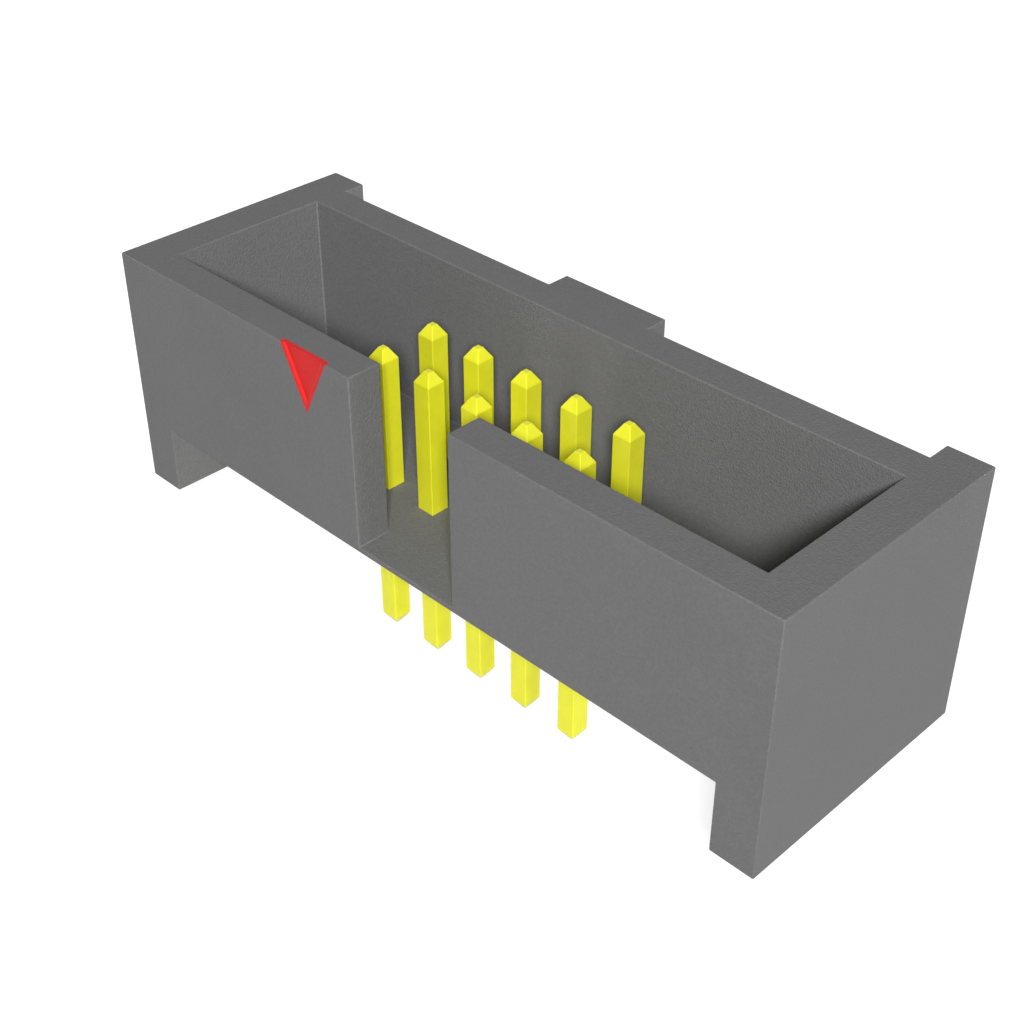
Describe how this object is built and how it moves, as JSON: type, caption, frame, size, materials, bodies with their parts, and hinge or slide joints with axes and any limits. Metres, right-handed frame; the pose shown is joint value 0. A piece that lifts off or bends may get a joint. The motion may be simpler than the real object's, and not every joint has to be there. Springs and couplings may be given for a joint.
{
  "type": "idc box header",
  "caption": "Shrouded pin header for a ribbon cable socket: a keyed, moulded box on board feet, with square pins, back ribs and a triangular first-pin mark.",
  "frame": {"origin": "middle of the pin pattern, on the top face of the board that the feet stand on", "axes": "+X along the pin rows, away from pin 1; +Y from the slotted front wall to the ribbed back; +Z out of the board, towards the mouth of the box"},
  "size_m": [0.033, 0.0112, 0.0144],
  "materials": {
    "housing": "fine moulded texture",
    "pins": "gold-plated, bright",
    "marker": "smooth inlay"
  },
  "bodies": {
    "root": {"housing": "housing", "pin_1_marker": "marker", "pin_1": "pins", "pin_2": "pins", "pin_3": "pins", "pin_4": "pins", "pin_5": "pins", "pin_6": "pins", "pin_7": "pins", "pin_8": "pins", "pin_9": "pins", "pin_10": "pins"}
  },
  "joints": []
}
